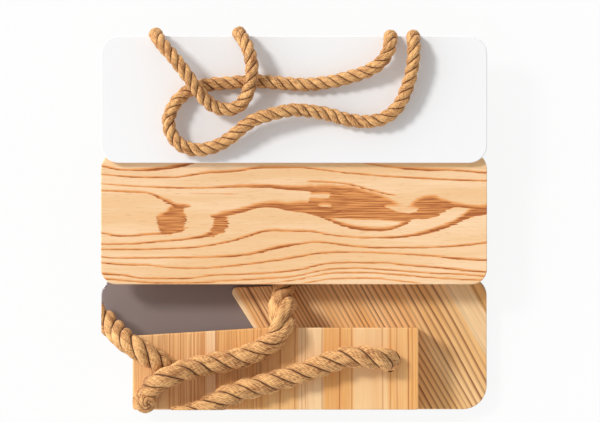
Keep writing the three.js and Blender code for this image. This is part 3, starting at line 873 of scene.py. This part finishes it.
glued_pine, tree, surface = new_material(
    "glued_pine", Roughness=0.55, Coat_Weight=0.08, Coat_Roughness=0.35)
place = on_object(tree)
grain = stretched(tree, place, (1, 1, 1), turn=(0, 0, math.pi / 2))
streak, drift = group_node(tree, wood_fibre, Place=grain)
across, _, upward = apart(tree, place)
across_px = scaled(tree, across, 1 / PIXEL, PILE_CENTRE_PIXEL[0])
share = between(tree, across_px, STAVE_FIRST, STAVE_LAST, smooth=False)
tone = stave_steps(tree, share, [colour(*tone) for _, tone, _ in STAVES])
ring_strength = stave_steps(tree, share, [(k, k, k, 1) for _, _, k in STAVES])
bend = noise(tree, stretched(tree, grain, (6, 60, 6)), detail=1)
crowding = noise(tree, stretched(tree, grain, (1, 85, 1)), detail=1)
phase = plus(
    tree, times(tree, across_px, 0.3), times(tree, bend, 2.2), times(tree, crowding, 5.0))
phase = scaled(tree, upward, RINGS_UPWARD, phase)
late = group_node(tree, year_rings, Phase=phase, Evenness=0.1)[0]
late = times(tree, late, ring_strength)
waved = scaled(tree, minus(tree, bend, 0.5), 3.0, across_px)
for x, strength in STAVE_LINES:
    off = calc(tree, "ABSOLUTE", minus(tree, waved, x))
    late = greatest(tree, late, between(tree, off, 0.3, 1.2, strength, 0))
wood = mixed(tree, times(tree, streak, 0.3), tone, BAR_LIGHT)
wood = mixed(tree, times(tree, drift, 0.25), wood, BAR_WARM)
finish(tree, surface, mixed(tree, late, wood, BAR_LATE), streak)
for name in ("bottom_crossbar", "middle_crossbar", "top_crossbar"):
    finish_node(name, glued_pine)

# The middle shelf board is one flat-sawn pine plank. Its year rings run along it as thin brown
# lines, and open out into ragged brown patches where the saw met a ring almost flat.
RING_LINES = {
    # (x, y, width) in photograph pixels, from left to right
    "along the back edge": (
        (102, 166, 2), (126, 170, 2), (151, 169.5, 3), (178, 166, 4), (200, 161, 2), (240, 152, 1),
        (486, 150, 1)),
    "back right": (
        (102, 148, 1), (340, 158, 1), (370, 164, 1.6), (398, 167.5, 2.4), (428, 169.7, 2.8), (450, 170, 2),
        (486, 173, 2)),
    "second": (
        (102, 174.5, 1.2), (148, 177.5, 1.6), (173, 177.5, 1.6), (191, 175, 2), (201, 173.3, 2.2),
        (237, 170.8, 2.4), (265, 167.5, 2), (300, 167.5, 1.8), (315, 169, 1.6), (357, 174, 1.4),
        (407, 177.5, 1.6), (457, 180, 1.6), (486, 180.8, 1.4)),
    "upper band": (
        (102, 184, 0.8), (131, 186, 1), (165, 187.5, 1.4), (198, 188, 1.6), (223, 187, 2), (243, 186, 3.5),
        (265, 186, 4), (286, 187.5, 4.6), (300, 188, 5.5), (310, 188, 8), (318, 190, 10), (328, 190, 12),
        (345, 190, 6)),
    "above the patch": (
        (306, 181.5, 0), (314, 181.7, 1.2), (348, 184.2, 1.6), (370, 190, 1.8), (392, 195, 1), (400, 196, 0)),
    "faint band": ((184, 194, 0), (192, 194, 0.4), (220, 194, 0.5), (248, 194, 0.4), (262, 193.5, 0)),
    "arrow head": (
        (102, 190.8, 1.2), (126, 191.7, 1.3), (151, 193.7, 1.8), (160, 197.5, 3.4), (170, 202, 5),
        (180, 206, 6), (187, 206, 3), (192, 206, 0)),
    "arrow": (
        (156.5, 216, 0), (158, 218, 7), (160, 222, 18), (164, 222.5, 23), (169, 221, 27), (174, 218.5, 31),
        (180, 217.5, 30), (183, 218, 27), (185, 218, 13), (187, 218, 0)),
    "arrow foot": (
        (102, 233.3, 1.6), (123, 235.8, 1.8), (148, 234.2, 1.8), (160, 233.5, 2.4), (170, 233, 3),
        (183, 229.5, 2), (190, 227, 0)),
    "bend": (
        (102, 244, 1.5), (131, 243.8, 1.5), (156, 241.7, 1.6), (178, 240, 1.8), (193, 238, 2.4),
        (202, 236.3, 3.4), (209, 234, 6), (213, 230, 12), (216, 225, 22), (221, 222, 23), (226, 222, 15),
        (229, 222, 0)),
    "main band": (
        (210, 216, 0), (214, 216.3, 4), (222, 214, 7), (240, 210.3, 6), (258, 205.4, 6), (273, 203.8, 7.5),
        (288, 206.2, 9.5), (300, 206.3, 12), (308, 207, 13), (318, 209, 14), (330, 210, 10), (345, 210, 0)),
    "patch": (
        (309, 200, 0), (315, 200.5, 31), (322, 200.5, 34), (330, 201, 34), (340, 201.5, 34), (350, 202, 34),
        (362, 204, 31), (375, 206, 28), (388, 209, 24), (398, 212, 19), (405, 213, 17), (415, 209, 20),
        (428, 206.5, 24), (440, 205.5, 17), (450, 204.5, 9), (458, 204.7, 5), (470, 206.6, 4.5),
        (486, 208, 3.5)),
    "under the lens": (
        (318, 215, 0), (324, 217, 4), (340, 223.5, 4), (360, 228, 4.4), (377, 229, 4.6), (390, 228, 4),
        (403, 223.5, 4), (412, 220, 0)),
    "right lobe": (
        (102, 249.5, 1.3), (128, 249.5, 1.3), (173, 248.3, 1.4), (198, 246.7, 1.6), (215, 244.2, 1.8),
        (231, 240.8, 2.2), (248, 235.8, 2.6), (265, 230.8, 2.6), (275, 230, 2.6), (290, 230.6, 2),
        (312, 231.2, 1.8), (332, 235, 1.6), (357, 237.2, 1.6), (383, 237.5, 1.8), (407, 235.8, 2.6),
        (423, 232.5, 4), (440, 227.5, 5.4), (453, 222.5, 6), (463, 216.7, 7.5), (473, 211.7, 11),
        (486, 209, 11)),
    "seventh": (
        (102, 256.7, 1.6), (115, 258, 1.6), (165, 257.5, 1.6), (215, 256.7, 1.8), (241, 255, 2.2),
        (256, 252.5, 3), (273, 248.3, 3.4), (286, 245.5, 3), (300, 243.5, 2), (315, 241.8, 2),
        (332, 243.3, 1.8), (360, 246.7, 1.6), (398, 247.5, 1.8), (432, 247, 1.8), (465, 245, 2),
        (486, 242.5, 2)),
    "eighth": (
        (102, 262.5, 1.6), (118, 264.2, 1.5), (148, 265, 1.4), (173, 267.5, 1.3), (201, 268, 1.3),
        (231, 265.8, 1.5), (265, 261.7, 1.8), (281, 259.3, 2), (307, 255, 1.8), (323, 252.5, 1.6),
        (357, 252, 1.4), (390, 253.3, 1.5), (432, 255.8, 1.8), (457, 258.3, 2.2), (486, 260, 2)),
    "ninth": (
        (106, 273.7, 2), (123, 275, 1.8), (148, 278.3, 1.4), (181, 278.3, 1.4), (215, 275, 1.4),
        (248, 273.7, 1.5), (281, 271.7, 1.7), (300, 269.3, 1.8), (323, 264, 1.6), (348, 262.5, 1.5),
        (382, 262.5, 1.5), (407, 265, 1.7), (440, 267.5, 2), (465, 270, 2.2), (484, 271.7, 2)),
    "tenth": (
        (108, 279, 1.5), (131, 280.8, 1.4), (156, 282.5, 1.3), (190, 282.5, 1.3), (223, 280.8, 1.4),
        (265, 278.3, 1.4), (290, 276.7, 1.3), (310, 273, 1.2), (332, 268.7, 1.3), (357, 268, 1.4),
        (390, 270, 1.4), (423, 272.5, 1.4), (457, 274, 1.4), (482, 275.8, 1.4)),
    "eleventh": (
        (262, 284, 0.6), (290, 280.8, 1), (315, 275.8, 1.1), (332, 273, 1.2), (357, 272.5, 1.2),
        (390, 274, 1.2), (432, 277.5, 1.2), (457, 279, 1.2), (480, 280, 1)),
    "twelfth": (
        (300, 284, 0.5), (312, 281.7, 0.9), (332, 278.7, 1), (365, 278, 1), (407, 281.7, 0.8),
        (425, 284, 0.5)),
}
PALE_SPOTS = {
    "finger": (
        (286, 195.5, 0), (292, 195.5, 4), (310, 195.3, 5), (322, 195, 7), (327, 195, 6), (331, 195, 0)),
    "small spot": ((318, 205, 0), (321, 205, 2.6), (326, 205.2, 3.4), (330, 205.4, 2), (332, 205.4, 0)),
    "soft spot": ((384, 206, 0), (394, 207, 6), (405, 208.5, 9), (413, 209, 7), (418, 209, 0)),
    "lens": (
        (344, 219, 0), (350, 219.8, 2.4), (362, 221.4, 5), (374, 222.4, 6.2), (386, 222.6, 5),
        (396, 222.4, 2.4), (400, 222.4, 0)),
}
BOARD_LEFT, BOARD_RIGHT = 101, 487
BOARD_TOP, BOARD_BOTTOM = 145, 290
WIDEST_LINE = 40
PLANK_TOP = 57.3 * MM

# One line of the figure: full inside its width, with a sharp front and a soft back.
figure_line, given, made = node_group("figure_line", ("Across", "Centre", "Width"), ("Mask",))
offset = minus(figure_line, given["Across"], given["Centre"])
half = times(figure_line, given["Width"], 0.5)
fade = calc(figure_line, "MINIMUM", scaled(figure_line, given["Width"], 0.5, 1.2), 4.5)
before = between(figure_line, plus(figure_line, offset, half), -1.6, fade)
after = between(figure_line, minus(figure_line, half, offset), -0.5, 0.5)
present = between(figure_line, given["Width"], 0.0, 0.9)
fullness = between(figure_line, given["Width"], 4, 15, 1.0, 0.76, smooth=False)
mask = times(figure_line, before, after, times(figure_line, present, fullness))
figure_line.links.new(mask, made["Mask"])


def smooth_curve(tree, value, points):
    """A Float Curve node through points that run from 0 to 1 both ways."""
    node = add(tree, "ShaderNodeFloatCurve", {"Value": value})
    curve = node.mapping.curves[0]
    while len(curve.points) < len(points):
        curve.points.new(0.5, 0.5)
    for point, place in zip(curve.points, points):
        point.location = place
        point.handle_type = "AUTO_CLAMPED"
    node.mapping.update()
    return node.outputs[0]


def figure(tree, lines, along_share, across):
    """The strongest of some figure lines at each place."""
    masks = []
    for points in lines.values():
        shares = [(x - BOARD_LEFT) / (BOARD_RIGHT - BOARD_LEFT) for x, _, _ in points]
        heights = [(y - BOARD_TOP) / (BOARD_BOTTOM - BOARD_TOP) for _, y, _ in points]
        widths = [width / WIDEST_LINE for _, _, width in points]
        centre, width = (
            smooth_curve(tree, along_share, list(zip(shares, places))) for places in (heights, widths))
        centre = scaled(tree, centre, BOARD_BOTTOM - BOARD_TOP, BOARD_TOP)
        width = times(tree, width, WIDEST_LINE)
        masks += group_node(tree, figure_line, Across=across, Centre=centre, Width=width)
    return greatest(tree, *masks)


PLANK_EARLY = (240, 196, 144), (250, 214, 172)
PLANK_STREAK, PLANK_DASH = (234, 180, 118), (196, 128, 74)
PLANK_LATE = (234, 158, 88), (164, 88, 34)
figured_pine, tree, surface = new_material(
    "figured_pine", Roughness=0.5, Coat_Weight=0.1, Coat_Roughness=0.3)
place = on_object(tree)
streak, drift = group_node(tree, wood_fibre, Place=place)
along, across, upward = apart(tree, place)
ragged = noise(tree, stretched(tree, place, (90, 620, 300)), detail=2)
tooth = noise(tree, stretched(tree, place, (30, 900, 300)), detail=1)
ragged, tooth = (minus(tree, grain, 0.5) for grain in (ragged, tooth))
along_px = scaled(tree, along, 1 / PIXEL, PILE_CENTRE_PIXEL[0])
along_px = plus(tree, along_px, times(tree, tooth, 9.0))
along_share = between(tree, along_px, BOARD_LEFT, BOARD_RIGHT, smooth=False)
across_px = scaled(tree, across, -1 / PIXEL, PILE_CENTRE_PIXEL[1])
across_px = plus(tree, across_px, times(tree, ragged, 1.6))
sunk = minus(tree, PLANK_TOP, upward)
across_px = scaled(tree, sunk, 1.6 / PIXEL, across_px)
brown = figure(tree, RING_LINES, along_share, across_px)
pale = figure(tree, PALE_SPOTS, along_share, across_px)
brown = times(tree, brown, minus(tree, 1.0, times(tree, pale, 0.9)))
brown = times(tree, brown, scaled(tree, streak, 0.5, 0.68))
wood = mixed(tree, drift, *PLANK_EARLY)
wood = mixed(tree, times(tree, streak, 0.3), wood, PLANK_STREAK)
dashes = noise(tree, stretched(tree, place, (70, 1300, 300)), detail=1)
wood = mixed(tree, between(tree, dashes, 0.64, 0.74, 0, 0.4), wood, PLANK_DASH)
wood = mixed(tree, between(tree, brown, 0.0, 0.5), wood, PLANK_LATE[0])
wood = mixed(tree, between(tree, brown, 0.45, 0.95), wood, PLANK_LATE[1])
finish(tree, surface, wood, streak)
finish_node("middle_shelf_board", figured_pine)

# The top shelf board is the thinnest wooden board, under smooth white lacquer. It is notched at
# its back edge for the ropes, and dowelled to the battens and crossbar below it.
WHITE_TONES = (242, 242, 243), (245, 245, 245)
white_lacquer, tree, surface = new_material(
    "white_lacquer", Roughness=0.35, Coat_Weight=0.2, Coat_Roughness=0.2)
place = on_object(tree)
tone = mixed(tree, noise(tree, place, scale=7, detail=1), *WHITE_TONES)
grain = noise(tree, place, scale=700, detail=2)
finish(tree, surface, tone, grain, LACQUER_DEPTH, LACQUER_STRENGTH)
finish_node("top_shelf_board", white_lacquer)

# Beech dowels of 8 mm join each tier's board, battens and crossbar. They are glued into blind
# holes, so none of them shows.
BEECH_TONES = (208, 166, 120), (226, 188, 146)
beech, tree, surface = new_material("beech", Roughness=0.6)
fleck = noise(tree, stretched(tree, on_object(tree), (900, 900, 160)), detail=2)
finish(tree, surface, mixed(tree, fleck, *BEECH_TONES))
for tier in ("bottom", "middle", "top"):
    for k in range(1, 5):
        finish_node(f"{tier}_dowel_{k}", beech)

# The pile lies on a plain white floor. Seen by the camera and in reflections, the floor is nearly pure white,
# and it keeps a faint share of the pile's shadow.
FLOOR_HALF = 15.0
FLOOR_GREY = 0.8
FLOOR_GLOW_SHARE = 0.9
floor_mesh = bpy.data.meshes.new("floor")
corners = [(x * FLOOR_HALF, y * FLOOR_HALF, 0) for x, y in ((-1, -1), (1, -1), (1, 1), (-1, 1))]
floor_mesh.from_pydata(corners, [], [(0, 1, 2, 3)])
floor = placed("floor", floor_mesh)
white_floor, tree, surface = new_material(
    "white_floor", Base_Color=(FLOOR_GREY, FLOOR_GREY, FLOOR_GREY, 1), Roughness=0.9)
floor_mesh.materials.append(white_floor)
glow = add(tree, "ShaderNodeEmission", {"Color": (1, 1, 1, 1), "Strength": 1.0}).outputs[0]
rays = add(tree, "ShaderNodeLightPath").outputs
mirrored = plus(tree, rays["Is Glossy Ray"], rays["Is Transmission Ray"])
seen = calc(tree, "ADD", rays["Is Camera Ray"], mirrored, clamp=True)
whitened = {0: times(tree, seen, FLOOR_GLOW_SHARE), 1: surface.outputs[0], 2: glow}
whitened = add(tree, "ShaderNodeMixShader", whitened).outputs[0]
tree.links.new(whitened, tree.nodes["Material Output"].inputs["Surface"])
floor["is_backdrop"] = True

# The key light is a broad soft lamp at the back left. The studio's walls are brighter than its
# ceiling, and its left side is brighter than its right.
KEY_STRENGTH = 1.9
KEY_SIZE = math.radians(12)
TOWARDS_KEY = (-1.0, 0.62, 1.05)
WINDOW_SIDE = 0.5
CEILING_LEVEL = 0.28
WALL_LEVEL = 1.48
key_data = bpy.data.lights.new("key_light", "SUN")
key_data.energy, key_data.angle = KEY_STRENGTH, KEY_SIZE
key_light = placed("key_light", key_data)
x, y, z = TOWARDS_KEY
key_light.rotation_euler = (math.acos(z / math.hypot(x, y, z)), 0, math.atan2(x, -y))

world = bpy.data.worlds.new("studio")
scene.world = world
world.use_nodes = True
tree = world.node_tree
side, _, upward = apart(tree, add(tree, "ShaderNodeTexCoord").outputs["Generated"])
level = between(tree, upward, 0, 1, WALL_LEVEL, CEILING_LEVEL, smooth=False)
level = times(tree, level, scaled(tree, side, -WINDOW_SIDE, 1.0))
tree.links.new(level, tree.nodes["Background"].inputs["Strength"])
tree.nodes["Background"].inputs["Color"].default_value = (1, 1, 1, 1)

scene.view_settings.view_transform = "Standard"

low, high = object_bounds()
